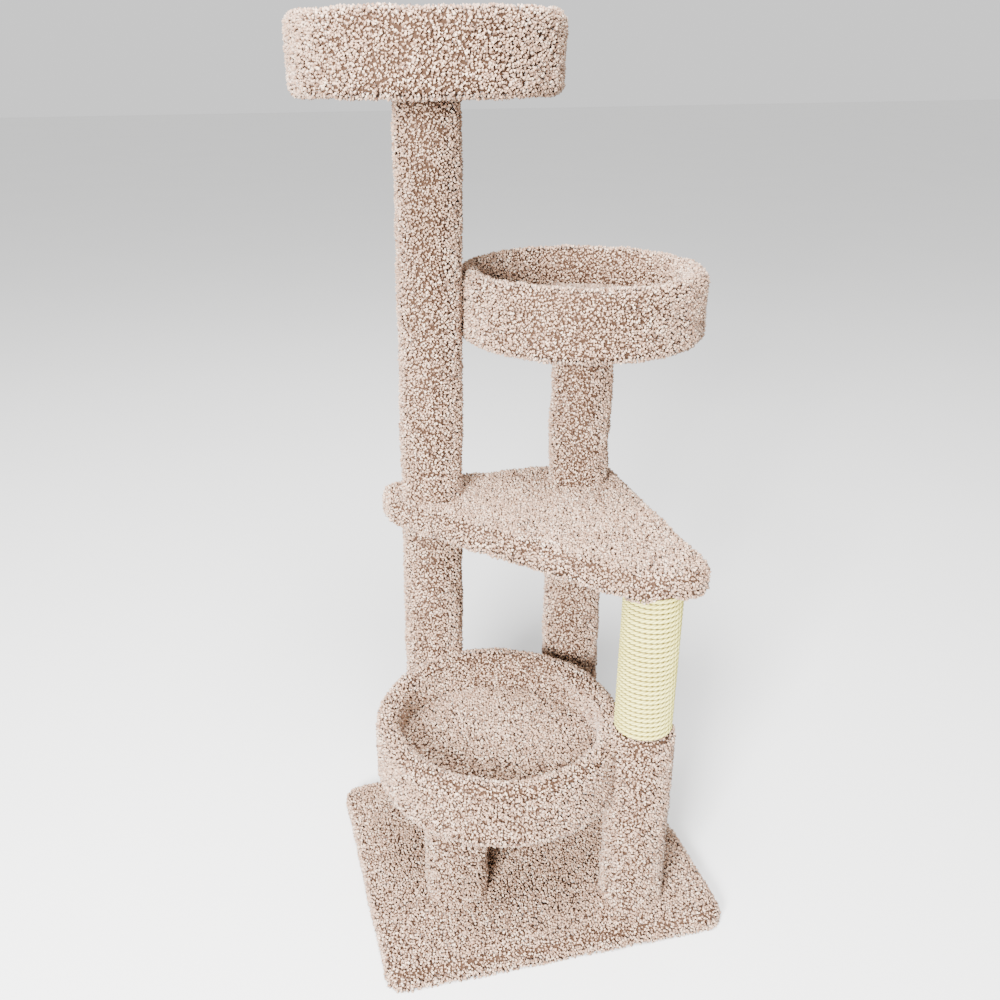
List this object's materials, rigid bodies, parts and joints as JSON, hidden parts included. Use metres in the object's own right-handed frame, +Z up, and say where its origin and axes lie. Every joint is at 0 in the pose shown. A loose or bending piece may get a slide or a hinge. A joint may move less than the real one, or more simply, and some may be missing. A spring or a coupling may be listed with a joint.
{
  "type": "cat tree",
  "caption": "Free-standing carpeted cat tree: base board, round posts, a corner platform, round raised beds and a rope-wound scratching stretch.",
  "frame": {"origin": "middle of the base board's underside, on the floor", "axes": "+Z up, +X to the viewer's right along the base's long front edge, +Y from the front edge to the back"},
  "size_m": [0.6989, 0.666, 1.5],
  "materials": {
    "carpet": "cut pile carpet, speckled beige",
    "sisal": "twisted sisal rope, pale straw",
    "card_tube": "wound kraft board",
    "plug_wood": "sawn softwood",
    "board": "raw plywood",
    "steel": "zinc plated"
  },
  "bodies": {
    "root": {"base_board": "board", "base_carpet": "carpet", "base_screws": "steel", "base_staples": "steel", "front_right_bottom_plug": "plug_wood", "front_right_sleeve": "carpet", "front_right_top_plug": "plug_wood", "front_right_tube": "card_tube", "low_tub_disc": "board", "low_tub_floor_carpet": "carpet", "low_tub_ring": "card_tube", "low_tub_wall_carpet": "carpet", "platform_board": "board", "platform_carpet": "carpet", "platform_screws": "steel", "platform_staples": "steel", "platform_studs": "steel", "platform_under_carpet": "carpet", "plug_nails": "steel", "rear_left_lower_bottom_plug": "plug_wood", "rear_left_lower_sleeve": "carpet", "rear_left_lower_top_plug": "plug_wood", "rear_left_lower_tube": "card_tube", "rear_left_upper_bottom_plug": "plug_wood", "rear_left_upper_sleeve": "carpet", "rear_left_upper_top_plug": "plug_wood", "rear_left_upper_tube": "card_tube", "rear_right_lower_bottom_plug": "plug_wood", "rear_right_lower_sleeve": "carpet", "rear_right_lower_top_plug": "plug_wood", "rear_right_lower_tube": "card_tube", "rear_right_upper_bottom_plug": "plug_wood", "rear_right_upper_sleeve": "carpet", "rear_right_upper_top_plug": "plug_wood", "rear_right_upper_tube": "card_tube", "right_tub_disc": "board", "right_tub_floor_carpet": "carpet", "right_tub_ring": "card_tube", "right_tub_wall_carpet": "carpet", "ring_nails": "steel", "rope_nails": "steel", "short_front_bottom_plug": "plug_wood", "short_front_sleeve": "carpet", "short_front_top_plug": "plug_wood", "short_front_tube": "card_tube", "sisal_rope": "sisal", "sleeve_staples": "steel", "top_tub_disc": "board", "top_tub_floor_carpet": "carpet", "top_tub_ring": "card_tube", "top_tub_wall_carpet": "carpet", "tub_screws": "steel", "tub_staples": "steel"}
  },
  "joints": []
}
